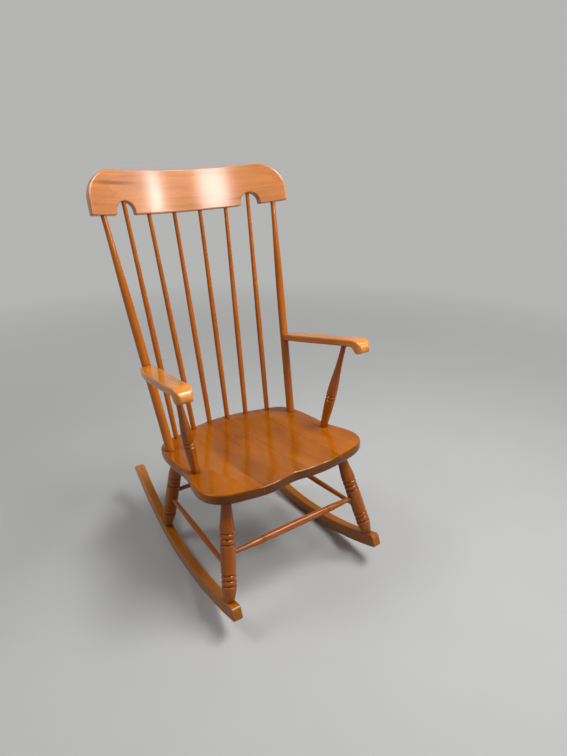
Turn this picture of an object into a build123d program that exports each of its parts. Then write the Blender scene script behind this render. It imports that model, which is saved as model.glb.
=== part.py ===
"""Spindle-back armchair rocker in turned and sawn hardwood, with a bent crest rail.

Millimetres. +X is the sitter's left-hand side, the chair faces -Y, +Z is up. The origin lies on the
floor, midway between the two rockers and midway between their front and rear ends.
"""

from math import copysign, cos, exp, radians, sin, sqrt, tan
import os

from build123d import *

os.makedirs("parts", exist_ok=True)

# ---- Driving dimensions ----------------------------------------------------------------------

# Joinery
glue_line = 0.1  # radial room between a tenon and its socket
fastener_gap = 0.05  # radial room around pins, plugs and screws
end_gap = 0.6  # room past the end of a tenon
face_gap = 0.05  # room between a shaped end and the curved face that it stands on
cutter_reach = 60.0  # how far a cutter starts outside the wood
sharp_angle = 20.0  # edges that turn by fewer degrees are left as they are
near = 1.0  # how far off a plane a point still counts as on it

# Rockers: two sawn boards whose undersides are two arcs that meet level on the floor
rocker_low_y = -9.7  # below the chair's centre of mass, so that it stands as drawn
rocker_nose_y = -354.8
rocker_nose_lift = 64.5  # underside above the floor
rocker_tail_y = 355.3
rocker_tail_lift = 119.3
rocker_depth = 36.5
rocker_width = 25.6
rocker_mid_x = 216.5  # centreline at y = 0
rocker_toe = 2.55  # degrees that each rocker turns inward towards the rear
nose_round = 11.0
tail_round = 29.0
tip_ease = 5.0  # rounding under the nose and the tail
rocker_arris = 2.5

# Seat: glued boards, tilted to the rear, with a shallow dish
seat_height = 346.9  # top face above the origin
seat_tilt = 6.0
seat_thickness = 29.5
seat_front = 293.8  # front edge ahead of the origin, at the middle
seat_front_bow = 7.0  # how far the edge in front of each thigh stands ahead of the middle
thigh_x = 85.0
seat_corner = ((150.0, -291.8), (214.0, -270.8), (242.0, -239.8))  # rounding of each front corner
seat_half_width = 249.5
seat_widest_y = -194.8
seat_past_arm_post = ((33.0, -34.0), (23.0, 10.0))  # points of the edge, from the arm post's axis
seat_past_back_post = ((26.0, -101.0), (26.0, -40.0), (20.0, 16.0), (3.0, 53.0))
seat_rear_margin = 15.0  # wood behind the spindles' axes
seat_rear_bow = 2.0  # how far the middle of the rear edge stands behind its neighbours
seat_top_round = 6.0
seat_under_round = 11.0
board_seams = (-116.0, 20.0, 128.0)  # glue joints between the seat's boards
dish_depth = 8.5
dish_half_width = 182.0
dish_centre_y = -72.8
dish_rear_length = 186.0
dish_front_length = 262.0
pommel_height = 2.6
pommel_width = 34.0
dish_grid = 17  # points each way that the dish's surface passes through
dish_grid_reach = 1.1  # width of that surface against the seat's

# Back: two posts and six spindles between the seat and the crest rail
post_foot = (206.4, 41.2)  # x and y on the seat
post_head_x = 257.5
post_socket = 22.0
post_radius = 12.2
post_head_radius = 7.2
post_taper = ((0.34, 1.0), (0.75, 0.83))  # share of the length, share of the radius
spindle_feet = ((31.0, 139.2), (91.5, 127.7), (159.0, 105.7))
spindle_head_x = (40.0, 119.0, 189.5)
spindle_socket = 20.0
spindle_foot_radius = 7.4
spindle_belly = 0.36  # share of the length from the seat to the thickest place
spindle_belly_radius = 8.2
spindle_head_radius = 5.7
crest_socket = 24.0
crest_ease = 6.0  # plain length of a post or spindle below the crest rail

# Crest rail: a bent board leaning back, hollow to the front
crest_base_y = 261.9  # middle of the lower edge
crest_base_z = 948.0
crest_lean = 15.0
crest_bend = 617.0  # radius of the board's middle surface
crest_thickness = 22.0
crest_height = 113.0
crest_half_width = 293.0
crest_shoulder = 78.0  # radius of the upper corners
crest_corner = 4.0
crest_arris = 3.2
notch_x = 190.0
notch_radius = 27.5
notch_top = 35.0
notch_lip = 5.0  # rounding where a notch meets the lower edge
crest_pin_radius = 2.0
crest_pin_length = 17.0
crest_pin_rise = 12.0  # above the lower edge

# Arms: sawn boards that rise to the front and roll down at the nose
arm_height = 602.8  # top face above y = 0
arm_rise = 11.5
arm_thickness = 19.0
arm_rear_x = (213.0, 247.0)  # inner and outer edge at the post
arm_waist = (37.2, 215.5, 264.5)  # y, inner and outer edge
arm_middle = (-52.8, 227.0, 277.0)
arm_front = (-143.8, 237.5, 284.5)
arm_nose = (-198.8, 241.0, 286.7)
arm_nose_reach = 18.0  # length of the nose, whose cheeks curve inward
arm_cheek = 10.0  # how far each cheek curves inward
arm_nose_drop = 18.5  # how far the roll hangs below the underside
arm_roll = 26.0  # length of the roll over the nose
arm_roll_share = 0.7  # of the nose's depth, down to its foremost line
arm_roll_under = 10.5  # length of the roll under the nose
arm_nose_foot = 1.5  # length of the roll's lowest part
arm_nose_slope = 28.0  # length over which the roll meets the underside
arm_rear_corner = 12.0
arm_cove = 9.0  # how far the arm's rear end is hollowed around the post
arm_arris = 4.5
arm_trim = 10.0  # waste on the blank, cut away by the side view
arm_screw_radius = 2.2
arm_screw_length = 46.0
arm_screw_depth = 4.4  # from the post's axis back to the screw's head
arm_plug_radius = 5.0
arm_plug_length = 4.8
arm_plug_dome = 0.8

# Arm posts
arm_post_foot = (209.8, -121.5)
arm_post_head_xy = (254.8, -145.3)
arm_post_socket = 20.0
arm_post_foot_radius = 10.9
arm_post_belly_radius = 14.8
arm_post_head_radius = 7.2
arm_post_neck = (0.7, 9.6)  # share of the length, radius
arm_post_rings = 95.0  # height of the pair of rings along the post
arm_post_ring_pitch = 10.4
arm_post_groove = (6.2, 2.4)  # width and depth
arm_post_tenon = 15.0

# Legs: four like turnings, splayed, with two groups of beads
leg_foot_y = (-309.3, 105.8)  # front and rear, on the rockers
leg_head = ((181.0, -223.8), (172.7, 68.9))  # x and y under the seat, front and rear
leg_socket = 21.0
leg_head_radius = 12.5
leg_belly_radius = 19.4
leg_foot_radius = 10.8
leg_beads = ((57.0, 160.5), (63.0, 166.5))  # middles of the groups of grooves, front and rear legs
bead_pitch = 14.2
bead_depth = 3.6
bead_shoulder = 4.0
leg_ankle = (18.0, 15.9)  # distance from the foot, radius
leg_neck = ((0.23, 17.8), (0.47, 15.1), (0.76, 13.1))  # share of the upper shaft, radius
leg_trim = 8.0  # waste below the foot, cut to the rocker's curve
leg_tenon_radius = 6.0
leg_tenon = 16.0

# Stretchers: heights are distances along the legs from the feet
front_stretcher_at = 119.0
side_stretcher_at = (84.0, 104.0)  # front leg and rear leg
rear_stretcher_at = 125.0
stretcher_end_radius = 6.2
stretcher_tenon = 24.0  # plain length from the leg's axis
stretcher_belly_radius = 8.2
front_ring_x = 107.0
front_ring_pitch = 6.0
front_ring_radius = 9.3
front_ring_groove = (3.2, 1.5)  # width and depth
front_belly_radius = 10.2

# Screws up through the rockers into the feet
foot_screw_radius = 2.2
foot_screw_length = 40.0
foot_screw_recess = 9.0  # from the rocker's underside to the screw's head
screw_head_radius = 4.2
screw_head_length = 2.8
screw_slot = 1.0  # width and depth

# ---- Places worked out from the dimensions ---------------------------------------------------


def leaning_plane(y, z, lean):
    """A plane across the chair whose upright direction leans back by an angle."""
    return Plane((0, y, z), x_dir=(1, 0, 0), z_dir=(0, sin(radians(lean)), cos(radians(lean))))


def on_plane(plane, x, y):
    """The point of a tilted plane straight above or below (x, y)."""
    rise = (plane.origin - Vector(x, y, 0)).dot(plane.z_dir) / plane.z_dir.Z
    return Vector(x, y, rise)


def on_crest(x, height):
    """The point in the middle of the crest rail's thickness, at a height up the board."""
    sag = crest_bend - sqrt(crest_bend**2 - x**2)
    return crest_plane.from_local_coords((x, -sag, height))


def rocker_radius(end_y, lift):
    """Radius of the arc that leaves the floor level at the low point and reaches a lift at one end."""
    return ((end_y - rocker_low_y) ** 2 + lift**2) / (2 * lift)


def rocker_top(y):
    """The point in the middle of a rocker's top face."""
    radius = rocker_radius(*rocker_ends[0 if y < rocker_low_y else 1])
    rise = radius - sqrt((radius - rocker_depth) ** 2 - (y - rocker_low_y) ** 2)
    return Vector(rocker_mid_x - y * tan(radians(rocker_toe)), y, rise)


def along(start, end, distance):
    """The point at a distance from start towards end."""
    return start + (end - start).normalized() * distance


def mirrored(point):
    """The same point or direction on the other side of the chair."""
    return Vector(-point.X, point.Y, point.Z)


def meet(plane, start, end):
    """Where the line from start to end crosses a plane."""
    step = end - start
    return start + step * ((plane.origin - start).dot(plane.z_dir) / step.dot(plane.z_dir))


rocker_ends = ((rocker_nose_y, rocker_nose_lift), (rocker_tail_y, rocker_tail_lift))
seat_plane = leaning_plane(0, seat_height, seat_tilt)
arm_plane = leaning_plane(0, arm_height, arm_rise)
crest_plane = leaning_plane(crest_base_y, crest_base_z, crest_lean)
crest_face_plane = Plane(crest_plane.origin, x_dir=(1, 0, 0), z_dir=crest_plane.y_dir * -1)
arm_side_plane = Plane(arm_plane.origin, x_dir=arm_plane.y_dir, z_dir=arm_plane.x_dir)
rocker_plane = Plane((rocker_mid_x, 0, 0), x_dir=(0, 1, 0), z_dir=(1, 0, 0)).rotated((0, 0, rocker_toe))
run_scale = 1 / cos(radians(rocker_toe))  # length along a rocker for each millimetre of y
seat_under_plane = seat_plane.offset(-seat_thickness)
arm_under_plane = arm_plane.offset(-arm_thickness)
leg_feet = [rocker_top(y) for y in leg_foot_y]
leg_heads = [on_plane(seat_under_plane, *place) for place in leg_head]
post_base = on_plane(seat_plane, *post_foot)
post_top = on_crest(post_head_x, 0)
spindle_bases = [on_plane(seat_plane, *place) for place in spindle_feet]
spindle_heights = [notch_top if abs(x - notch_x) < notch_radius else 0 for x in spindle_head_x]
spindle_tops = [on_crest(x, height) for x, height in zip(spindle_head_x, spindle_heights)]
arm_post_base = on_plane(seat_plane, *arm_post_foot)
arm_post_top = on_plane(arm_under_plane, *arm_post_head_xy)

post_at_arm = meet(arm_plane.offset(-arm_thickness / 2), post_base, post_top)
arm_forward = arm_plane.y_dir * -1
arm_screw_seat = post_at_arm - arm_forward * arm_screw_depth
pin_centre = along(post_top, post_top * 2 - post_base, crest_pin_rise)
pin_inward = (crest_plane.from_local_coords((0, -crest_bend, crest_pin_rise)) - pin_centre).normalized()
pin_mouth = pin_centre - pin_inward * (crest_thickness / 2)
front_end = along(leg_feet[0], leg_heads[0], front_stretcher_at)
rear_end = along(leg_feet[1], leg_heads[1], rear_stretcher_at)
front_ends = (front_end, mirrored(front_end))
rear_ends = (rear_end, mirrored(rear_end))
side_ends = [along(*ends) for ends in zip(leg_feet, leg_heads, side_stretcher_at)]


# ---- Shared operations -----------------------------------------------------------------------


def lathe(foot, head, runs):
    """Turn a solid about the line from foot to head.

    Each run is a curve class and its points as (distance from the foot, radius).
    """
    across = Plane(foot, z_dir=head - foot)
    meridian = Plane(foot, x_dir=across.x_dir, z_dir=across.x_dir.cross(across.z_dir))
    start_distance, start_radius = runs[0][1][0]
    end_distance, end_radius = runs[-1][1][-1]
    with BuildSketch(meridian) as profile:
        with BuildLine():
            for curve, points in runs:
                curve(*[(radius, distance) for distance, radius in points])
            Polyline(
                (end_radius, end_distance),
                (0, end_distance),
                (0, start_distance),
                (start_radius, start_distance),
            )
        make_face()
    revolve(profile.sketch, axis=Axis(foot, head - foot))


def smooth(*points):
    """Draw a curve that starts and ends parallel with the lathe's axis."""
    Spline(*points, tangents=((0, 1), (0, 1)))


def v_grooves(middles, radius, width, depth):
    """Runs for V grooves and for the plain lengths between them."""
    runs = []
    for middle in middles:
        if runs:
            runs.append((Line, [runs[-1][1][-1], (middle - width / 2, radius)]))
        runs.append((Line, [(middle - width / 2, radius), (middle, radius - depth)]))
        runs.append((Line, [(middle, radius - depth), (middle + width / 2, radius)]))
    return runs


def sharp_edges(part):
    """The edges where two faces meet at an angle, without the seams in smooth surfaces."""
    found = ShapeList()
    for edge in part.edges():
        sides = [face for face in part.faces() if any(edge.is_same(other) for other in face.edges())]
        normals = [face.normal_at(edge @ 0.5) for face in sides]
        if normals[0].get_angle(normals[-1]) > sharp_angle:
            found.append(edge)
    return found


def bore(mouth, inward, radius, depth):
    """Cut a round blind hole that starts outside the wood and ends at a depth past its mouth."""
    direction = inward.normalized()
    with Locations(Plane(mouth - direction * cutter_reach, z_dir=direction)):
        Cylinder(
            radius,
            cutter_reach + depth,
            align=(Align.CENTER, Align.CENTER, Align.MIN),
            mode=Mode.SUBTRACT,
        )


def socket(mouth, far_end, radius, depth):
    """Cut the hole for a tenon on the end of a piece that stands between mouth and far_end."""
    bore(mouth, mouth - far_end, radius + glue_line, depth + end_gap)


def rod(start, direction, radius, length):
    """Add a plain round rod."""
    with Locations(Plane(start, z_dir=direction)):
        Cylinder(radius, length, align=(Align.CENTER, Align.CENTER, Align.MIN))


def save(piece, name):
    """Label a finished piece and write it."""
    piece.part.label = name
    export_step(piece.part, f"parts/{name}.step")


def save_pair(piece, name):
    """Write a piece of the sitter's left-hand side (+X) and its mirror image."""
    save(piece, f"left_{name}")
    with BuildPart() as other:
        mirror(piece.part, about=Plane.YZ)
    save(other, f"right_{name}")


# ---- Rockers ---------------------------------------------------------------------------------


def rocker_board(top_allowance):
    """A rocker's side view, cut square at both ends, with an allowance on the depth of the board."""
    depth = rocker_depth + top_allowance
    with BuildSketch(rocker_plane) as view:
        with BuildLine():
            for end_y, lift in rocker_ends:
                share = depth / rocker_radius(end_y, lift)
                run = end_y - rocker_low_y
                under = (end_y * run_scale, lift)
                top = ((end_y - run * share) * run_scale, lift * (1 - share) + depth)
                heading = (copysign(1, run), 0)
                TangentArc((rocker_low_y * run_scale, 0), under, tangent=heading)
                Line(under, top)
                TangentArc((rocker_low_y * run_scale, depth), top, tangent=heading)
        make_face()
        fillet(vertices().sort_by(Axis.X)[0], tip_ease)
        fillet(vertices().sort_by(Axis.X)[2], nose_round)
        fillet(vertices().sort_by(Axis.X)[-1], tip_ease)
        fillet(vertices().sort_by(Axis.X)[-3], tail_round)
    return view.sketch


def screw_seat(foot, head):
    """Where a screw's head bears inside the rocker, on the leg's axis."""
    slope = (head - foot).length / (head - foot).Z
    return foot + (foot - head).normalized() * (rocker_depth * slope - foot_screw_recess)


with BuildPart() as rocker:
    extrude(rocker_board(0), amount=rocker_width / 2, both=True)
    fillet(faces().filter_by(Axis(rocker_plane.origin, rocker_plane.z_dir)).edges(), rocker_arris)
    for foot, head in zip(leg_feet, leg_heads):
        socket(foot, head, leg_tenon_radius, leg_tenon)
        bore(screw_seat(foot, head), head - foot, screw_head_radius + fastener_gap, 0)
        bore(screw_seat(foot, head), head - foot, foot_screw_radius + fastener_gap, rocker_depth)
save_pair(rocker, "rocker")

# ---- Seat ------------------------------------------------------------------------------------


def saddle(x, y):
    """Height of the dished surface against the seat's flat margin, in the seat's plane."""
    length = dish_front_length if y < dish_centre_y else dish_rear_length
    bowl = (x / dish_half_width) ** 2 + ((y - dish_centre_y) / length) ** 2 - 1
    behind_pommel = y - dish_centre_y + length / 2
    pommel = exp(-((x / pommel_width) ** 2)) / (1 + exp(behind_pommel / pommel_width))
    return dish_depth * bowl + pommel_height * pommel


def local(plane, x, y):
    """The plane's own coordinates of the point straight above or below (x, y)."""
    point = plane.to_local_coords(on_plane(plane, x, y))
    return (point.X, point.Y)


def seat_half_outline():
    """Points round the seat's left-hand half, from the front to the rear."""
    front = [(0, -seat_front), (thigh_x, -seat_front - seat_front_bow), *seat_corner]
    side = [(seat_half_width, seat_widest_y)]
    posts = ((arm_post_foot, seat_past_arm_post), (post_foot, seat_past_back_post))
    for (post_x, post_y), past_post in posts:
        side.extend((post_x + x, post_y + y) for x, y in past_post)
    rear = [(x, y + seat_rear_margin) for x, y in reversed(spindle_feet)]
    return [*front, *side, *rear, (0, rear[-1][1] + seat_rear_bow)]


with BuildPart() as seat_blank:
    with BuildSketch(seat_plane):
        with BuildLine():
            left_half = [local(seat_plane, x, y) for x, y in seat_half_outline()]
            right_half = [(-x, y) for x, y in reversed(left_half[1:-1])]
            Spline(*left_half, *right_half, periodic=True)
        make_face()
    extrude(amount=-seat_thickness)
    broad_faces = faces().filter_by(Axis(seat_plane.origin, seat_plane.z_dir)).sort_by(Axis.Z)
    fillet(broad_faces[-1].edges(), seat_top_round)
    broad_faces = faces().filter_by(Axis(seat_plane.origin, seat_plane.z_dir)).sort_by(Axis.Z)
    fillet(broad_faces[0].edges(), seat_under_round)
    shares = [2 * i / (dish_grid - 1) - 1 for i in range(dish_grid)]
    grid_x = [dish_grid_reach * seat_half_width * share for share in shares]
    grid_y = [dish_centre_y + seat_front * share for share in shares]
    surface = Face.make_surface_from_array_of_points(
        [[seat_plane.from_local_coords((x, y, saddle(x, y))) for y in grid_y] for x in grid_x]
    )
    extrude(surface, amount=2 * seat_thickness, dir=tuple(seat_plane.z_dir), mode=Mode.SUBTRACT)
    for side in (Vector, mirrored):
        socket(side(post_base), side(post_top), post_radius, post_socket)
        socket(side(arm_post_base), side(arm_post_top), arm_post_foot_radius, arm_post_socket)
        for base, top in zip(spindle_bases, spindle_tops):
            socket(side(base), side(top), spindle_foot_radius, spindle_socket)
        for foot, head in zip(leg_feet, leg_heads):
            socket(side(head), side(foot), leg_head_radius, leg_socket)

seat_edges = (-2 * seat_half_width, *board_seams, 2 * seat_half_width)
for number, (low, high) in enumerate(zip(seat_edges, seat_edges[1:]), start=1):
    with BuildPart() as board:
        add(seat_blank.part)
        with Locations(((low + high) / 2, 0, seat_height)):
            Box(high - low, 4 * seat_front, seat_height, mode=Mode.INTERSECT)
    save(board, f"seat_board_{number}")

# ---- Crest rail ------------------------------------------------------------------------------

with BuildPart() as crest_rail:
    with BuildSketch(crest_plane):
        with Locations((0, -crest_bend)):
            Circle(crest_bend + crest_thickness / 2)
            Circle(crest_bend - crest_thickness / 2, mode=Mode.SUBTRACT)
        Rectangle(2 * crest_bend, crest_bend, mode=Mode.INTERSECT)
    extrude(amount=crest_height)
    with BuildSketch(crest_face_plane):
        Rectangle(2 * crest_half_width, crest_height, align=(Align.CENTER, Align.MIN))
        fillet(vertices().group_by(Axis.Y)[-1], crest_shoulder)
        fillet(vertices().group_by(Axis.Y)[0], crest_corner)
        with Locations((-notch_x, 0), (notch_x, 0)):
            with Locations((0, notch_top - notch_radius)):
                Circle(notch_radius, mode=Mode.SUBTRACT)
            Rectangle(2 * notch_radius, 2 * (notch_top - notch_radius), mode=Mode.SUBTRACT)
        inside_corners = crest_half_width - crest_corner - near
        lips = vertices().group_by(Axis.Y)[0].filter_by_position(Axis.X, -inside_corners, inside_corners)
        fillet(lips, notch_lip)
    extrude(amount=2 * crest_bend, both=True, mode=Mode.INTERSECT)
    broad_faces = faces().filter_by(GeomType.CYLINDER).sort_by(SortBy.AREA)[-2:]
    fillet(broad_faces.edges(), crest_arris)
    for side in (Vector, mirrored):
        socket(side(post_top), side(post_base), post_head_radius, crest_socket)
        for base, top in zip(spindle_bases, spindle_tops):
            socket(side(top), side(base), spindle_head_radius, crest_socket)
        bore(side(pin_mouth), side(pin_inward), crest_pin_radius + fastener_gap, crest_pin_length + end_gap)
save(crest_rail, "crest_rail")

# ---- Back posts and spindles -----------------------------------------------------------------

with BuildPart() as back_post:
    length = (post_top - post_base).length
    taper = [(length * share, post_radius * size) for share, size in post_taper]
    neck = (length - crest_ease, post_head_radius)
    lathe(
        post_base,
        post_top,
        [
            (Line, [(-post_socket, post_radius), taper[0]]),
            (smooth, [*taper, neck]),
            (Line, [neck, (length + crest_socket, post_head_radius)]),
        ],
    )
    bore(arm_screw_seat, arm_forward, arm_screw_radius + fastener_gap, arm_screw_length)
    bore(arm_screw_seat, arm_forward, arm_plug_radius + fastener_gap, 0)
    bore(pin_mouth, pin_inward, crest_pin_radius + fastener_gap, crest_pin_length + end_gap)
save_pair(back_post, "back_post")

for number, (base, top) in enumerate(zip(spindle_bases, spindle_tops), start=1):
    with BuildPart() as spindle:
        length = (top - base).length
        neck = (length - crest_ease, spindle_head_radius)
        lathe(
            base,
            top,
            [
                (Line, [(-spindle_socket, spindle_foot_radius), (0, spindle_foot_radius)]),
                (smooth, [(0, spindle_foot_radius), (length * spindle_belly, spindle_belly_radius), neck]),
                (Line, [neck, (length + crest_socket, spindle_head_radius)]),
            ],
        )
    save_pair(spindle, f"spindle_{number}")

# ---- Arms and arm posts ----------------------------------------------------------------------

with BuildPart() as arm:
    with BuildSketch(arm_plane.offset(arm_trim)):
        rear_y = post_at_arm.Y - post_radius + arm_cove
        stations = [(rear_y, *arm_rear_x), arm_waist, arm_middle, arm_front, arm_nose]
        nose_run = local(arm_plane, 0, arm_nose[0] - arm_nose_reach)[1]
        rear_corners = []
        nose_corners = []
        with BuildLine():
            for column, inward in ((1, 1), (2, -1)):
                edge = Spline(*[local(arm_plane, station[column], station[0]) for station in stations])
                cheek = TangentArc(edge @ 1, ((edge @ 1).X + inward * arm_cheek, nose_run), tangent=edge % 1)
                rear_corners.append(edge @ 0)
                nose_corners.append(cheek @ 1)
            Line(*rear_corners)
            Line(*nose_corners)
        make_face()
        fillet(vertices().group_by(Axis.Y)[-1], arm_rear_corner)
    extrude(amount=-arm_thickness - arm_nose_drop - 2 * arm_trim)
    with BuildSketch(arm_side_plane):
        rear_run = rear_corners[0].Y + arm_trim
        front_run = nose_run + face_gap
        lowest = arm_thickness + arm_nose_drop
        foremost = lowest * arm_roll_share
        foot_start = front_run + arm_roll_under
        foot_end = foot_start + arm_nose_foot
        slope_end = foot_end + arm_nose_slope
        with BuildLine():
            Line((rear_run, 0), (front_run + arm_roll, 0))
            EllipticalCenterArc((front_run + arm_roll, -foremost), arm_roll, foremost, 90, arc_size=90)
            EllipticalCenterArc((foot_start, -foremost), arm_roll_under, lowest - foremost, 180, arc_size=90)
            Line((foot_start, -lowest), (foot_end, -lowest))
            Spline((foot_end, -lowest), (slope_end, -arm_thickness), tangents=((1, 0), (1, 0)))
            Polyline((slope_end, -arm_thickness), (rear_run, -arm_thickness), (rear_run, 0))
        make_face()
    extrude(amount=2 * seat_half_width, both=True, mode=Mode.INTERSECT)
    fillet(sharp_edges(arm.part), arm_arris)
    bore(post_at_arm, post_top - post_base, post_radius + glue_line, cutter_reach)
    socket(arm_post_top, arm_post_base, arm_post_head_radius, arm_post_tenon)
    bore(arm_screw_seat, arm_forward, arm_screw_radius + fastener_gap, arm_screw_length + end_gap)
save_pair(arm, "arm")

with BuildPart() as arm_post:
    length = (arm_post_top - arm_post_base).length
    groove_width, groove_depth = arm_post_groove
    ring_middles = (arm_post_rings - arm_post_ring_pitch / 2, arm_post_rings + arm_post_ring_pitch / 2)
    ring_ends = (ring_middles[0] - groove_width / 2, ring_middles[1] + groove_width / 2)
    neck = (length * arm_post_neck[0], arm_post_neck[1])
    lathe(
        arm_post_base,
        arm_post_top,
        [
            (Line, [(-arm_post_socket, arm_post_foot_radius), (0, arm_post_foot_radius)]),
            (smooth, [(0, arm_post_foot_radius), (ring_ends[0], arm_post_belly_radius)]),
            *v_grooves(ring_middles, arm_post_belly_radius, groove_width, groove_depth),
            (smooth, [(ring_ends[1], arm_post_belly_radius), neck, (length, arm_post_head_radius)]),
            (Line, [(length, arm_post_head_radius), (length + arm_post_tenon, arm_post_head_radius)]),
        ],
    )
save_pair(arm_post, "arm_post")

# ---- Legs ------------------------------------------------------------------------------------

quarter_round = sqrt(3) / 2  # share of its height that a quarter circle has reached half way along


def bead_runs(middle):
    """Three grooves with a full round bead between each two, and a rounded shoulder either side."""
    root = leg_belly_radius - bead_depth
    crown = leg_belly_radius
    near = middle - bead_pitch
    far = middle + bead_pitch
    shoulder_run = bead_shoulder / 2
    shoulder_rise = root + bead_depth * quarter_round
    return [
        (
            ThreePointArc,
            [(near - bead_shoulder, crown), (near - shoulder_run, shoulder_rise), (near, root)],
        ),
        (ThreePointArc, [(near, root), (near + bead_pitch / 2, crown), (middle, root)]),
        (ThreePointArc, [(middle, root), (middle + bead_pitch / 2, crown), (far, root)]),
        (ThreePointArc, [(far, root), (far + shoulder_run, shoulder_rise), (far + bead_shoulder, crown)]),
    ]


def leg_runs(length, bead_middles):
    """The outline of a leg of a given length between the rocker and the seat."""
    group_half = bead_pitch + bead_shoulder
    low, high = bead_middles
    shaft = length - high - group_half
    neck = [(high + group_half + shaft * share, radius) for share, radius in leg_neck]
    return [
        (Line, [(-leg_trim, leg_foot_radius), (0, leg_foot_radius)]),
        (Spline, [(0, leg_foot_radius), leg_ankle, (low - group_half, leg_belly_radius)]),
        *bead_runs(low),
        (Line, [(low + group_half, leg_belly_radius), (high - group_half, leg_belly_radius)]),
        *bead_runs(high),
        (smooth, [(high + group_half, leg_belly_radius), *neck, (length, leg_head_radius)]),
        (Line, [(length, leg_head_radius), (length + leg_socket, leg_head_radius)]),
    ]


def turn_leg(foot, head, bead_middles, sockets):
    """Make a leg in the current part. Each socket is a stretcher's end point and its far end point."""
    lathe(foot, head, leg_runs((head - foot).length, bead_middles))
    extrude(rocker_board(face_gap), amount=2 * leg_belly_radius, both=True, mode=Mode.SUBTRACT)
    rod(head, foot - head, leg_tenon_radius, (head - foot).length + leg_tenon)
    bore(screw_seat(foot, head), head - foot, foot_screw_radius + fastener_gap, foot_screw_length + end_gap)
    for end, far_end in sockets:
        socket(end, far_end, stretcher_end_radius, 0)


with BuildPart() as front_leg:
    turn_leg(leg_feet[0], leg_heads[0], leg_beads[0], [front_ends, side_ends])
save_pair(front_leg, "front_leg")

with BuildPart() as rear_leg:
    turn_leg(leg_feet[1], leg_heads[1], leg_beads[1], [rear_ends, side_ends[::-1]])
save_pair(rear_leg, "rear_leg")

# ---- Stretchers ------------------------------------------------------------------------------


def plain_stretcher(ends):
    """Make a stretcher that swells from its two tenons to the middle."""
    length = (ends[1] - ends[0]).length
    lathe(
        *ends,
        [
            (Line, [(0, stretcher_end_radius), (stretcher_tenon, stretcher_end_radius)]),
            (
                smooth,
                [
                    (stretcher_tenon, stretcher_end_radius),
                    (length / 2, stretcher_belly_radius),
                    (length - stretcher_tenon, stretcher_end_radius),
                ],
            ),
            (Line, [(length - stretcher_tenon, stretcher_end_radius), (length, stretcher_end_radius)]),
        ],
    )


with BuildPart() as side_stretcher:
    plain_stretcher(side_ends)
save_pair(side_stretcher, "side_stretcher")

with BuildPart() as rear_stretcher:
    plain_stretcher(rear_ends)
save(rear_stretcher, "rear_stretcher")

with BuildPart() as front_stretcher:
    length = (front_ends[1] - front_ends[0]).length
    groove_width, groove_depth = front_ring_groove
    ring_middle = length / 2 - front_ring_x
    grooves = (ring_middle - front_ring_pitch / 2, ring_middle + front_ring_pitch / 2)
    far_grooves = (length - grooves[1], length - grooves[0])
    start = (stretcher_tenon, stretcher_end_radius)
    before = (grooves[0] - groove_width / 2, front_ring_radius)
    after = (grooves[1] + groove_width / 2, front_ring_radius)
    lathe(
        *front_ends,
        [
            (Line, [(0, stretcher_end_radius), start]),
            (smooth, [start, before]),
            *v_grooves(grooves, front_ring_radius, groove_width, groove_depth),
            (Spline, [after, (length / 2, front_belly_radius), (length - after[0], front_ring_radius)]),
            *v_grooves(far_grooves, front_ring_radius, groove_width, groove_depth),
            (smooth, [(length - before[0], front_ring_radius), (length - start[0], stretcher_end_radius)]),
            (Line, [(length - start[0], stretcher_end_radius), (length, stretcher_end_radius)]),
        ],
    )
save(front_stretcher, "front_stretcher")

# ---- Pins, screws and plugs ------------------------------------------------------------------


def screw(seat, direction, radius, length, head_radius, head_length):
    """Add a screw whose flat head bears at seat, with a slot across the head."""
    rod(seat, direction, radius, length)
    rod(seat, direction * -1, head_radius, head_length)
    with Locations(Plane(seat - direction.normalized() * head_length, z_dir=direction)):
        Box(3 * head_radius, screw_slot, 2 * screw_slot, mode=Mode.SUBTRACT)


with BuildPart() as crest_pins:
    for side in (Vector, mirrored):
        rod(side(pin_mouth), side(pin_inward), crest_pin_radius, crest_pin_length)
save(crest_pins, "crest_pins")

with BuildPart() as arm_screws:
    for side in (Vector, mirrored):
        screw(
            side(arm_screw_seat),
            side(arm_forward),
            arm_screw_radius,
            arm_screw_length,
            screw_head_radius,
            screw_head_length,
        )
save(arm_screws, "arm_screws")

with BuildPart() as arm_screw_plugs:
    for side in (Vector, mirrored):
        rod(
            side(arm_screw_seat - arm_forward * (screw_head_length + fastener_gap)),
            side(arm_forward) * -1,
            arm_plug_radius,
            arm_plug_length,
        )
    fillet(edges().group_by(Axis((0, 0, 0), arm_forward))[0], arm_plug_dome)
save(arm_screw_plugs, "arm_screw_plugs")

with BuildPart() as rocker_screws:
    for side in (Vector, mirrored):
        for foot, head in zip(leg_feet, leg_heads):
            screw(
                side(screw_seat(foot, head)),
                side(head - foot),
                foot_screw_radius,
                foot_screw_length,
                screw_head_radius,
                screw_head_length,
            )
save(rocker_screws, "rocker_screws")
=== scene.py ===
"""Looks of the spindle-back rocking chair: lacquered maple, a pale studio floor and soft light."""

from math import cos, pi, radians, sin, tan

import bpy
from mathutils import Euler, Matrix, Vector


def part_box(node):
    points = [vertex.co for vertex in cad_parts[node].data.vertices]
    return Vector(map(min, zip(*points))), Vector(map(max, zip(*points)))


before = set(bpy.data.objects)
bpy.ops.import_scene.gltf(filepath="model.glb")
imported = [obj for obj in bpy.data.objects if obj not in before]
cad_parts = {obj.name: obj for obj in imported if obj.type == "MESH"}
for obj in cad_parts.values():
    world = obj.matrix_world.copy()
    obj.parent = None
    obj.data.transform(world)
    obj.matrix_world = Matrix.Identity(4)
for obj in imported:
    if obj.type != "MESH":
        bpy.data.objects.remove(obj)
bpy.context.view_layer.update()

# Lengths are in metres and colours are linear, unless a comment says otherwise.

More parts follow.
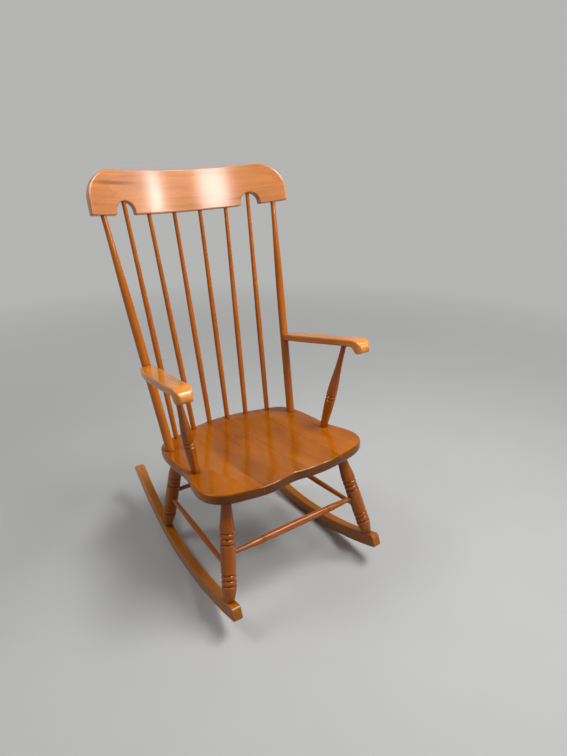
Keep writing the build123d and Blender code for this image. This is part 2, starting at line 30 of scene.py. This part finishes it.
# ---- Camera ----------------------------------------------------------------------------------

picture_height = 756  # pixels
focal_length = 558.2  # pixels
sensor_height = 36.0  # millimetres
camera_place = Vector((-0.7209, -1.2411, 1.1577))
camera_turn = radians(35.11)  # from straight at the chair's front towards its left-hand side
camera_dip = radians(23.88)
camera_roll = radians(0.07)

# ---- Surroundings ----------------------------------------------------------------------------

background = (0.46, 0.46, 0.455)  # what lies behind the object, and level with it all round
overhead_grey = (0.20, 0.205, 0.21)  # the room above the lamps
sky_rise = (0.18, 0.46)  # Z of unit directions, between which one passes into the other

floor_reach = 40.0
floor_colour = (0.54, 0.54, 0.53)
floor_patch_shade = 0.97  # colour of the floor's slow patches, as a share of its own
floor_patch_scale = (3.0, 3.0, 3.0)  # per metre
floor_patch_range = (0.3, 0.7)
floor_bounce = (0.20, 0.19, 0.18)  # the colour with which the floor lights the object
floor_roughness = 0.6
floor_specular = 0.2
floor_fade = (0.9, 3.2)  # distances over which the floor passes into the background

# What the lamps face
chair_middle = Vector((0.0, 0.04, 0.55))
crest_middle = Vector((0.0, 0.25, 1.0))
crest_left = Vector((0.20, 0.25, 1.0))
crest_left_inner = Vector((0.15, 0.25, 1.0))

# ---- Wood ------------------------------------------------------------------------------------

# Darkest and lightest stain. Tawny is set lighter, painting light on the spindles and back posts; amber
# and brown are set darker, painting shade on the lower turned pieces and on the rockers under the seat.
pale = ((0.38, 0.112, 0.022), (0.80, 0.300, 0.090))
honey = ((0.41, 0.110, 0.004), (0.78, 0.265, 0.020))
saddle = ((0.21, 0.046, 0.001), (0.49, 0.138, 0.002))
tawny = ((0.31, 0.070, 0.001), (0.61, 0.168, 0.003))
brown = ((0.25, 0.064, 0.002), (0.54, 0.170, 0.010))
amber = ((0.23, 0.048, 0.001), (0.51, 0.126, 0.002))
board_tones = (1.04, 1.0, 1.06, 1.22)  # how strongly each of the seat's boards shows its tones

# Strength of growth rings, clouds, streaks and fibres
plain_figure = (0.16, 0.50, 0.34, 0.14)
seat_figure = (0.14, 0.90, 0.22, 0.10)
crest_figure = (0.20, 0.50, 0.34, 0.14)

# Roughness and refractive index of the lacquer
turned_coat = (0.09, 1.42)
seat_coat = (0.11, 1.38)
arm_coat = (0.15, 1.55)
rocker_coat = (0.12, 1.42)
crest_coat = (0.18, 1.68)

# Where the middle of the tree lies, counted from where a piece starts in the pattern
turned_pith = (0.05, 0.03, 0.0)
seat_pith = (0.02, -0.25, 0.0)
arm_pith = (0.03, -0.2, 0.0)
rocker_pith = (0.12, 0.06, 0.0)
plug_pith = (0.05, 0.05, 0.0)
crest_pith = Vector((0.50, 0.08, 0.0))  # counted from the pattern's own start

# Where pieces start in the pattern, and how far on the next one starts, so that no two look alike
turned_step = (0.37, -0.23, 0.61)
board_step = (0.71, 0.13, 0.47)
side_start = Vector((0.0, 0.31, 0.0))
side_step = (0.53, 0.0, 0.17)
plug_start = Vector((0.3, 0.2, 0.1))
crest_start = Vector((0.0, 0.0, 0.4))

# Features per metre: across the grain one way, across it the other way, and along it
ring_stray_scale = (9.0, 9.0, 1.6)
cloud_scale = (11.0, 11.0, 4.0)
streak_scale = (150.0, 150.0, 3.5)
fibre_scale = (1100.0, 1100.0, 28.0)
fleck_scale = (520.0, 520.0, 95.0)
rub_scale = (70.0, 70.0, 22.0)
film_scale = (55.0, 55.0, 30.0)
smear_scale = (18.0, 18.0, 9.0)

ring_stray = (0.030, 0.030, 0.0)  # how far slow noise bends the growth rings
ring_pattern = {"Scale": 62.0, "Distortion": 1.2, "Detail": 2.0, "Detail Scale": 0.6}
ring_range = (0.0, 1.0)
noise_range = (0.25, 0.75)  # holds nearly all that a noise gives

# Dark places: their colour is given as a share of the darkest stain
fleck_range = (0.64, 0.74)  # noise at which a fleck starts, and at which it is full
fleck_strength = 0.34
fleck_shade = 0.30
mark_shade = 0.30
core_share = 0.2  # of the reach of a mark, of a rubbed place and of a painted lit place, where it is full
end_grain_range = (0.35, 0.80)  # cosine to the grain where side grain ends and end grain is full
end_grain_shade = 0.40
plain_soaking = 0.15  # how much darker the seat's end grain is; set strong, it also paints shade on the seat's front edge
seat_end_stain_and_shade = 0.78
arm_soaking = 0.0
glue_line = (0.0004, 0.0014)  # half width of its core, and with its soft edges
glue_strength = 0.45
glue_shade = 0.25
# Painted shade: the colour darkens in corners, grooves and between pieces, as far as nearby surfaces
# close them in
hollow_shade_reach = 0.014
hollow_shade_range = (0.25, 0.92)  # openness of a corner that gets the full painted shade, and of one that gets none
hollow_shade_strength = 0.70
hollow_shade_tone = 0.16
hollow_shade_samples = 8

# Pale places: their colour is the lightest stain times one number, plus another
rubbed_and_lit_lift = (1.15, 0.04)
rubbed_and_lit_range = (0.3, 0.6)  # of the clouds, which part a rubbed place and a painted lit place into patches
rubbed_and_lit_patches = (0.55, 1.0)  # share of its strength that the weakest patch has, and the fullest
arm_worn_reach = 0.10  # from the arm's nose
arm_worn_strength = 0.7
rocker_lit_reach = 0.22  # from the rocker's tail, where painted light makes the stain paler
rocker_lit_strength = 0.6
arris_lift = (1.35, 0.02)
arris_reach = 0.0016
arris_turn = (0.995, 0.93)  # cosine between rounded and true surface where wear starts and is full
arris_samples = 6
rub_range = (0.42, 0.68)  # of the noise that parts a worn arris into patches
rub_patches = (0.15, 0.75)  # strength of the weakest patch and of the fullest

# Strength and depth of the relief
fibre_relief = (0.10, 0.0004)
film_relief = (0.05, 0.0015)
streak_relief = (0.05, 0.0004)

# How rough the stained wood is under the lacquer, in smears
smear_range = (0.3, 0.7)
stain_roughness = (0.32, 0.48)

# Plated steel
steel_dark = (0.42, 0.42, 0.40)
steel_light = (0.66, 0.66, 0.62)
steel_mottle_scale = (900.0, 900.0, 900.0)
steel_mottle_range = (0.3, 0.7)
steel_roughness = (0.28, 0.45)


def dipping(angle):
    """The direction to the chair's rear that dips by an angle."""
    return Vector((0, cos(angle), -sin(angle)))


seat_tilt = radians(6)
arm_slope = radians(11.5)
seat_direction = dipping(seat_tilt)
arm_direction = dipping(arm_slope)
rocker_direction = Vector((0, 1, 0))
plug_direction = Vector((1, 0, 0))
seat_seams = [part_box(f"seat_board_{number}")[1].x for number in range(1, len(board_tones))]

crest_lean = radians(15)
crest_bend = 0.617  # radius of its middle surface
crest_foot = Vector((0.0, 0.2619, 0.948))  # middle of its lower edge
crest_axis = crest_foot - dipping(crest_lean) * crest_bend

# Dark mineral marks in the crest rail: middle, half size each way, strength
crest_marks = (
    (crest_start + Vector((crest_bend, 0.092, -0.22)), (0.08, 0.007, 0.085), 1.5),
    (crest_start + Vector((crest_bend, 0.040, 0.16)), (0.08, 0.005, 0.060), 0.9),
)

# ---- Nodes -----------------------------------------------------------------------------------

# Sockets of a Mix node that blends colours
mix_first = 6
mix_second = 7
mix_result = 2

number_results = ("LENGTH", "DISTANCE", "DOT_PRODUCT")  # sums on vectors that give a number


def add_node(tree, kind, inputs=None, **settings):
    """Make a node, with its settings and with values or links for its inputs."""
    node = tree.nodes.new(kind)
    for key, value in settings.items():
        setattr(node, key, value)
    for key, value in (inputs or {}).items():
        if isinstance(value, bpy.types.NodeSocket):
            tree.links.new(value, node.inputs[key])
        else:
            node.inputs[key].default_value = value
    return node


def calculate(tree, operation, first, second=0.0, third=0.0):
    """The result of one sum on numbers."""
    node = add_node(tree, "ShaderNodeMath", {0: first, 1: second, 2: third}, operation=operation)
    return node.outputs[0]


def calculate_vector(tree, operation, *vectors):
    """The result of one sum on vectors."""
    node = add_node(tree, "ShaderNodeVectorMath", dict(enumerate(vectors)), operation=operation)
    return node.outputs["Value" if operation in number_results else "Vector"]


def spread(tree, value, low, high, to_low=0.0, to_high=1.0):
    """A value whose range low to high is carried over to another range, and held there."""
    node = add_node(
        tree,
        "ShaderNodeMapRange",
        {"Value": value, "From Min": low, "From Max": high, "To Min": to_low, "To Max": to_high},
    )
    return node.outputs["Result"]


def noise(tree, vector, scale, detail=2.0, roughness=0.5, colour=False):
    """Fractal noise with a number of features per metre each way."""
    node = add_node(
        tree,
        "ShaderNodeTexNoise",
        {
            "Vector": calculate_vector(tree, "MULTIPLY", vector, scale),
            "Scale": 1.0,
            "Detail": detail,
            "Roughness": roughness,
        },
    )
    return node.outputs["Color" if colour else "Fac"]


def blend(tree, share, first, second):
    """Two colours blended by a share."""
    inputs = {"Factor": share, mix_first: first, mix_second: second}
    return add_node(tree, "ShaderNodeMix", inputs, data_type="RGBA").outputs[mix_result]


def opaque(colour, factor=1.0, lift=0.0):
    """A colour with full opacity, times a factor and lifted."""
    return (*[min(1.0, factor * part + lift) for part in colour], 1.0)


def object_place(tree):
    """The place of a point on the object."""
    return add_node(tree, "ShaderNodeTexCoord").outputs["Object"]


def surface_normal(tree):
    """The direction that the true surface faces."""
    return add_node(tree, "ShaderNodeNewGeometry").outputs["Normal"]


def bump(tree, height, relief, normal=None):
    """The direction that a surface with relief faces."""
    strength, depth = relief
    inputs = {"Strength": strength, "Distance": depth, "Height": height}
    if normal:
        inputs["Normal"] = normal
    return add_node(tree, "ShaderNodeBump", inputs).outputs["Normal"]


# ---- Materials -------------------------------------------------------------------------------


def straight_grain(tree, direction, start):
    """Coordinates whose Z runs along a direction, so that the grain does."""
    turn = direction.normalized().rotation_difference(Vector((0, 0, 1))).to_euler()
    inputs = {"Vector": object_place(tree), "Rotation": turn, "Location": start}
    return add_node(tree, "ShaderNodeMapping", inputs).outputs["Vector"]


def bent_grain(tree, start):
    """Coordinates whose Z follows the bend of the crest rail."""
    moved = calculate_vector(tree, "SUBTRACT", object_place(tree), crest_axis)
    upright = add_node(tree, "ShaderNodeMapping", {"Vector": moved, "Rotation": (crest_lean, 0, 0)})
    parts = add_node(tree, "ShaderNodeSeparateXYZ", {"Vector": upright.outputs["Vector"]}).outputs
    angle = calculate(tree, "ARCTAN2", parts["X"], parts["Y"])
    squares = calculate(tree, "MULTIPLY", parts["Y"], parts["Y"])
    depth = calculate(tree, "SQRT", calculate(tree, "MULTIPLY_ADD", parts["X"], parts["X"], squares))
    along = calculate(tree, "MULTIPLY", angle, crest_bend)
    joined = add_node(tree, "ShaderNodeCombineXYZ", {"X": depth, "Y": parts["Z"], "Z": along})
    return calculate_vector(tree, "ADD", joined.outputs["Vector"], start)


def growth_rings(tree, place, pith):
    """Rings round the middle of the tree that rise from dark to pale and fall back at once."""
    from_pith = calculate_vector(tree, "SUBTRACT", place, pith)
    return add_node(
        tree,
        "ShaderNodeTexWave",
        {"Vector": from_pith, **ring_pattern},
        wave_type="RINGS",
        rings_direction="Z",
        wave_profile="SAW",
    ).outputs["Fac"]


def arris_wear(tree, coords):
    """How far a sharp edge is rubbed, in patches."""
    rounded = add_node(tree, "ShaderNodeBevel", {"Radius": arris_reach}, samples=arris_samples)
    turn = calculate_vector(tree, "DOT_PRODUCT", rounded.outputs["Normal"], surface_normal(tree))
    rubbed = noise(tree, coords, rub_scale, detail=3.0)
    sharpness = spread(tree, turn, *arris_turn)
    return calculate(tree, "MULTIPLY", sharpness, spread(tree, rubbed, *rub_range, *rub_patches))


def lacquered_maple(
    name, grain, tones, pith, figure, coat, seams=(), marks=(), ends=None, rubbed_and_lit=None
):
    """Honey-stained maple under clear lacquer.

    grain makes the coordinates, tones are the darkest and lightest stain (on some pieces set lighter to
    paint light, on others darker to paint shade), pith is where the tree's middle lies across the
    grain, figure is the strength of rings, clouds, streaks and fibres, coat is the lacquer's roughness
    and refractive index, seams are the places along X of glue joints, marks are dark mineral marks as
    (middle, half size each way, strength) in the grain's coordinates, ends is the grain's direction
    with how much darker the stain is on end grain, which on the seat also paints shade on its front
    edge, and the last argument is where the stain is made pale, as (middle, reach, strength): rubbed
    pale by hands on the arms, and painted light on the rockers' tails.
    """
    material = bpy.data.materials.new(name)
    material.use_nodes = True
    tree = material.node_tree
    shader = tree.nodes["Principled BSDF"]
    coords = grain(tree)
    deep, light = tones

    # everything is drawn out along the grain, and slow noise bends the rings and the marks
    stray = noise(tree, coords, ring_stray_scale, detail=3.0, colour=True)
    wander = calculate_vector(tree, "MULTIPLY_ADD", stray, ring_stray, coords)
    rings = growth_rings(tree, wander, pith)
    cloud = noise(tree, coords, cloud_scale, detail=3.0)
    streak = noise(tree, coords, streak_scale, detail=3.0, roughness=0.6)
    fibre = noise(tree, coords, fibre_scale)
    fleck = noise(tree, coords, fleck_scale, detail=1.0)

    shade = 0.5
    ranges = (ring_range, noise_range, noise_range, noise_range)
    for pattern, (low, high), strength in zip((rings, cloud, streak, fibre), ranges, figure):
        swing = spread(tree, pattern, low, high, -0.5, 0.5)
        shade = calculate(tree, "MULTIPLY_ADD", swing, strength, shade)
    colour = blend(tree, shade, opaque(deep), opaque(light))
    pores = spread(tree, fleck, *fleck_range, 0.0, fleck_strength)
    colour = blend(tree, pores, colour, opaque(deep, fleck_shade))
    for middle, half_size, strength in marks:
        nearby = calculate_vector(tree, "SUBTRACT", wander, middle)
        scaled = calculate_vector(tree, "MULTIPLY", nearby, [1 / size for size in half_size])
        reach = calculate_vector(tree, "LENGTH", scaled)
        mark = calculate(tree, "MULTIPLY", spread(tree, reach, core_share, 1.0, strength, 0.0), streak)
        colour = blend(tree, mark, colour, opaque(deep, mark_shade))

    # end grain soaks up more stain; on the seat this is set strong and also paints shade on its front
    # edge
    if ends:
        direction, strength = ends
        facing = calculate_vector(tree, "DOT_PRODUCT", surface_normal(tree), direction)
        facing = calculate(tree, "ABSOLUTE", facing)
        end_stain_and_shade_share = spread(tree, facing, *end_grain_range, 0.0, strength)
        colour = blend(tree, end_stain_and_shade_share, colour, opaque(deep, end_grain_shade))

    # stain made pale: rubbed by hands on the arms, painted light on the rockers' tails
    if rubbed_and_lit:
        middle, reach, strength = rubbed_and_lit
        away = calculate_vector(tree, "DISTANCE", object_place(tree), middle)
        rubbed_and_lit_share = spread(tree, away, core_share * reach, reach, strength, 0.0)
        patches = spread(tree, cloud, *rubbed_and_lit_range, *rubbed_and_lit_patches)
        rubbed_and_lit_share = calculate(tree, "MULTIPLY", rubbed_and_lit_share, patches)
        colour = blend(tree, rubbed_and_lit_share, colour, opaque(light, *rubbed_and_lit_lift))

    # glue joints between boards
    across = add_node(tree, "ShaderNodeSeparateXYZ", {"Vector": object_place(tree)}).outputs["X"]
    for seam in seams:
        distance = calculate(tree, "ABSOLUTE", calculate(tree, "SUBTRACT", across, seam))
        line = spread(tree, distance, *glue_line, glue_strength, 0.0)
        colour = blend(tree, line, colour, opaque(deep, glue_shade))

    # painted shade in corners and grooves, as far as nearby surfaces close them in, and worn arrises
    hollow = add_node(
        tree, "ShaderNodeAmbientOcclusion", {"Distance": hollow_shade_reach}, samples=hollow_shade_samples
    )
    hollow_shade = spread(tree, hollow.outputs["AO"], *hollow_shade_range, hollow_shade_strength, 0.0)
    colour = blend(tree, hollow_shade, colour, opaque(deep, hollow_shade_tone))
    colour = blend(tree, arris_wear(tree, coords), colour, opaque(light, *arris_lift))

    # the lacquer follows the streaks a little, and has a slow waviness of its own
    relief = bump(tree, calculate(tree, "ADD", streak, fibre), fibre_relief)
    film = bump(tree, noise(tree, coords, film_scale, detail=1.0), film_relief)
    lacquer = bump(tree, streak, streak_relief, film)

    smears = noise(tree, coords, smear_scale, detail=3.0)
    coat_roughness, coat_ior = coat
    tree.links.new(colour, shader.inputs["Base Color"])
    tree.links.new(spread(tree, smears, *smear_range, *stain_roughness), shader.inputs["Roughness"])
    tree.links.new(relief, shader.inputs["Normal"])
    tree.links.new(lacquer, shader.inputs["Coat Normal"])
    shader.inputs["Specular IOR Level"].default_value = 0.0
    shader.inputs["Coat Weight"].default_value = 1.0
    shader.inputs["Coat Roughness"].default_value = coat_roughness
    shader.inputs["Coat IOR"].default_value = coat_ior
    return material


def screw_steel():
    """Plated steel with a slightly mottled surface."""
    material = bpy.data.materials.new("plated_steel")
    material.use_nodes = True
    tree = material.node_tree
    shader = tree.nodes["Principled BSDF"]
    mottle = noise(tree, object_place(tree), steel_mottle_scale, detail=3.0)
    colour = blend(tree, mottle, opaque(steel_dark), opaque(steel_light))
    roughness = spread(tree, mottle, *steel_mottle_range, *steel_roughness)
    tree.links.new(colour, shader.inputs["Base Color"])
    tree.links.new(roughness, shader.inputs["Roughness"])
    shader.inputs["Metallic"].default_value = 1.0
    return material


# ---- Pieces ----------------------------------------------------------------------------------

axis_guess = Vector((0.1, 0.3, 1.0))
axis_rounds = 12


def long_axis(node):
    """The direction of a piece's greatest length, from the spread of its vertices."""
    points = [vertex.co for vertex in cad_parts[node].data.vertices]
    middle = sum(points, Vector()) / len(points)
    offsets = [point - middle for point in points]
    axis = axis_guess
    for _ in range(axis_rounds):
        axis = sum((offset * offset.dot(axis) for offset in offsets), Vector()).normalized()
    return axis


def dress(node, material):
    """Give a CAD piece its material."""
    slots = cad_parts[node].data.materials
    slots.clear()
    slots.append(material)


def grained(
    node, direction, start, tones, pith, figure, coat, seams=(), end_stain_and_shade=plain_soaking, rubbed_and_lit=None
):
    """Give a CAD piece maple whose grain runs in one direction."""
    material = lacquered_maple(
        f"maple_{node}",
        lambda tree: straight_grain(tree, direction, start),
        tones,
        start + Vector(pith),
        figure,
        coat,
        seams,
        ends=(direction.normalized(), end_stain_and_shade),
        rubbed_and_lit=rubbed_and_lit,
    )
    dress(node, material)


def stepped(number, step):
    """A number of steps in the pattern."""
    return Vector([number * part for part in step])


paired = (
    "front_leg",
    "rear_leg",
    "side_stretcher",
    "back_post",
    "spindle_1",
    "spindle_2",
    "spindle_3",
    "arm_post",
)
turned = [f"{side}_{piece}" for side in ("left", "right") for piece in paired]
# tawny paints light on the spindles and back posts, amber paints shade on the legs, stretchers and arm
# posts
for number, node in enumerate((*turned, "front_stretcher", "rear_stretcher")):
    start = stepped(number, turned_step)
    tones = tawny if "spindle" in node or "back_post" in node else amber
    grained(node, long_axis(node), start, tones, turned_pith, plain_figure, turned_coat)

# the seat's strong end-grain darkening is partly real stain and partly painted shade on its front edge
for number, strength in enumerate(board_tones, start=1):
    grained(
        f"seat_board_{number}",
        seat_direction,
        stepped(number, board_step),
        [[strength * part for part in tone] for tone in saddle],
        seat_pith,
        seat_figure,
        seat_coat,
        seat_seams,
        seat_end_stain_and_shade,
    )

for number, side in enumerate(("left", "right")):
    start = side_start + stepped(number, side_step)
    low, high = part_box(f"{side}_arm")
    nose = Vector(((low.x + high.x) / 2, low.y, high.z))
    grained(
        f"{side}_arm",
        arm_direction,
        start,
        honey,
        arm_pith,
        plain_figure,
        arm_coat,
        end_stain_and_shade=arm_soaking,
        rubbed_and_lit=(nose, arm_worn_reach, arm_worn_strength),
    )
    # the rockers' brown is a darker stain that paints the shade under the seat
    low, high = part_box(f"{side}_rocker")
    tail = Vector(((low.x + high.x) / 2, high.y, high.z))
    # painted light: the rocker's tail end is made paler, as if it caught more light
    grained(
        f"{side}_rocker",
        rocker_direction,
        start,
        brown,
        rocker_pith,
        plain_figure,
        rocker_coat,
        rubbed_and_lit=(tail, rocker_lit_reach, rocker_lit_strength),
    )

crest_material = lacquered_maple(
    "maple_crest_rail",
    lambda tree: bent_grain(tree, crest_start),
    pale,
    crest_pith,
    crest_figure,
    crest_coat,
    marks=crest_marks,
)
dress("crest_rail", crest_material)

for node in ("crest_pins", "arm_screw_plugs"):
    grained(node, plug_direction, plug_start, amber, plug_pith, plain_figure, turned_coat)
for node in ("arm_screws", "rocker_screws"):
    dress(node, screw_steel())

# ---- Floor -----------------------------------------------------------------------------------

bpy.ops.mesh.primitive_plane_add(size=floor_reach)
floor = bpy.context.object
floor.name = "floor"
floor_material = bpy.data.materials.new("floor")
floor_material.use_nodes = True
tree = floor_material.node_tree
surface = tree.nodes["Principled BSDF"]
place = object_place(tree)
patches = spread(tree, noise(tree, place, floor_patch_scale, detail=4.0), *floor_patch_range)
tint = blend(tree, patches, opaque(floor_colour, floor_patch_shade), opaque(floor_colour))
seen = add_node(tree, "ShaderNodeLightPath").outputs
in_view = calculate(tree, "MAXIMUM", seen["Is Camera Ray"], seen["Is Glossy Ray"])
in_view = calculate(tree, "MAXIMUM", in_view, seen["Is Transmission Ray"])
tree.links.new(blend(tree, in_view, opaque(floor_bounce), tint), surface.inputs["Base Color"])
surface.inputs["Roughness"].default_value = floor_roughness
surface.inputs["Specular IOR Level"].default_value = floor_specular
beyond = add_node(tree, "ShaderNodeEmission", {"Color": opaque(background)}).outputs["Emission"]
away = calculate_vector(tree, "LENGTH", place)
share = calculate(tree, "MULTIPLY", spread(tree, away, *floor_fade), in_view)
mixed = add_node(tree, "ShaderNodeMixShader", {0: share, 1: surface.outputs["BSDF"], 2: beyond})
tree.links.new(mixed.outputs["Shader"], tree.nodes["Material Output"].inputs["Surface"])
floor.data.materials.append(floor_material)

# ---- Light -----------------------------------------------------------------------------------

world = bpy.data.worlds.new("studio")
bpy.context.scene.world = world
world.use_nodes = True
tree = world.node_tree
direction = add_node(tree, "ShaderNodeTexCoord").outputs["Generated"]
rise = add_node(tree, "ShaderNodeSeparateXYZ", {"Vector": direction}).outputs["Z"]
room = blend(tree, spread(tree, rise, *sky_rise), opaque(background), opaque(overhead_grey))
tree.links.new(room, tree.nodes["Background"].inputs["Color"])


def add_lamp(name, target, turn, rise, distance, width, height, radiance, grid=180):
    """A rectangular lamp that the camera doesn't see.

    It faces the target from a distance, in a direction that is turned from -Y towards +X and raised.
    grid is the angle over which its light spreads. The three angles are in degrees.
    """
    data = bpy.data.lights.new(name, "AREA")
    data.shape = "RECTANGLE"
    data.size = width
    data.size_y = height
    data.spread = radians(grid)
    # a narrower grid makes a lamp of the same power brighter, so it gets less power
    half_spread = data.spread / 2
    data.energy = radiance * pi * width * height * (1 - half_spread / tan(half_spread))
    lamp = bpy.data.objects.new(name, data)
    bpy.context.scene.collection.objects.link(lamp)
    turn, rise = radians(turn), radians(rise)
    direction = Vector((sin(turn) * cos(rise), -cos(turn) * cos(rise), sin(rise)))
    lamp.location = target + direction * distance
    lamp.rotation_euler = direction.to_track_quat("Z", "Y").to_euler()
    lamp.visible_camera = False


add_lamp(
    "overhead", chair_middle, turn=42, rise=52, distance=2.5, width=1.7, height=0.62, radiance=18
)
add_lamp("key", chair_middle, turn=-118, rise=50, distance=3.2, width=1.1, height=1.1, radiance=7)
add_lamp(
    "room",
    crest_middle,
    turn=48,
    rise=22,
    distance=4.2,
    width=3.8,
    height=1.3,
    radiance=1.6,
    grid=46,
)
add_lamp(
    "window_wide",
    crest_left,
    turn=11.1,
    rise=23,
    distance=3.57,
    width=0.80,
    height=0.40,
    radiance=17.5,
    grid=60,
)
add_lamp(
    "window_narrow",
    crest_left_inner,
    turn=40.1,
    rise=20.3,
    distance=3.45,
    width=0.30,
    height=0.40,
    radiance=22,
    grid=60,
)

# ---- View ------------------------------------------------------------------------------------

lens = bpy.data.cameras.new("camera")
lens.sensor_fit = "VERTICAL"
lens.sensor_height = sensor_height
lens.lens = focal_length * sensor_height / picture_height
camera = bpy.data.objects.new("camera", lens)
bpy.context.scene.collection.objects.link(camera)
camera.location = camera_place
camera.rotation_euler = Euler((pi / 2 - camera_dip, camera_roll, -camera_turn))
bpy.context.scene.camera = camera
bpy.context.scene.view_settings.view_transform = "Standard"

bpy.context.view_layer.update()
